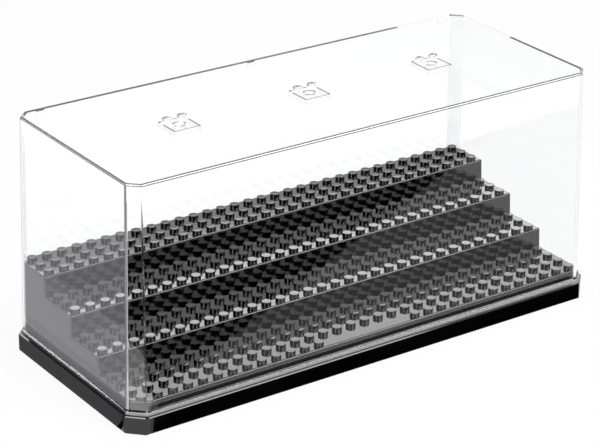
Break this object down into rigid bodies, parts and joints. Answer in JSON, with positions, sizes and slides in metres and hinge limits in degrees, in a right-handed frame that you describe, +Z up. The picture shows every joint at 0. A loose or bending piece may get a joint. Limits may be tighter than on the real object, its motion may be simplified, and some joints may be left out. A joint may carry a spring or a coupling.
{
  "type": "tiered display case",
  "caption": "Display case for small studded figures: black moulded base, studded tiers rising to the back and a clear lift-off cover.",
  "frame": {"origin": "centre of the footprint, on the plane that the case stands on", "axes": "+Z up, -Y to the front where the lowest tier is, +X along the tiers to the viewer's right"},
  "size_m": [0.2672, 0.1134, 0.121],
  "materials": {
    "base": "high-gloss black moulding",
    "tiers": "high-gloss black moulding",
    "cover": "clear polished"
  },
  "bodies": {
    "case_body": {"base_tray": "base", "front_platform": "tiers", "lower_step": "tiers", "upper_step": "tiers", "rear_step": "tiers"},
    "cover": {"dust_cover": "cover"}
  },
  "joints": [
    {"name": "cover_lift", "type": "slide", "parent": "case_body", "child": "cover", "axis": [0, 0, 1], "range_m": [0, 0.06]}
  ]
}
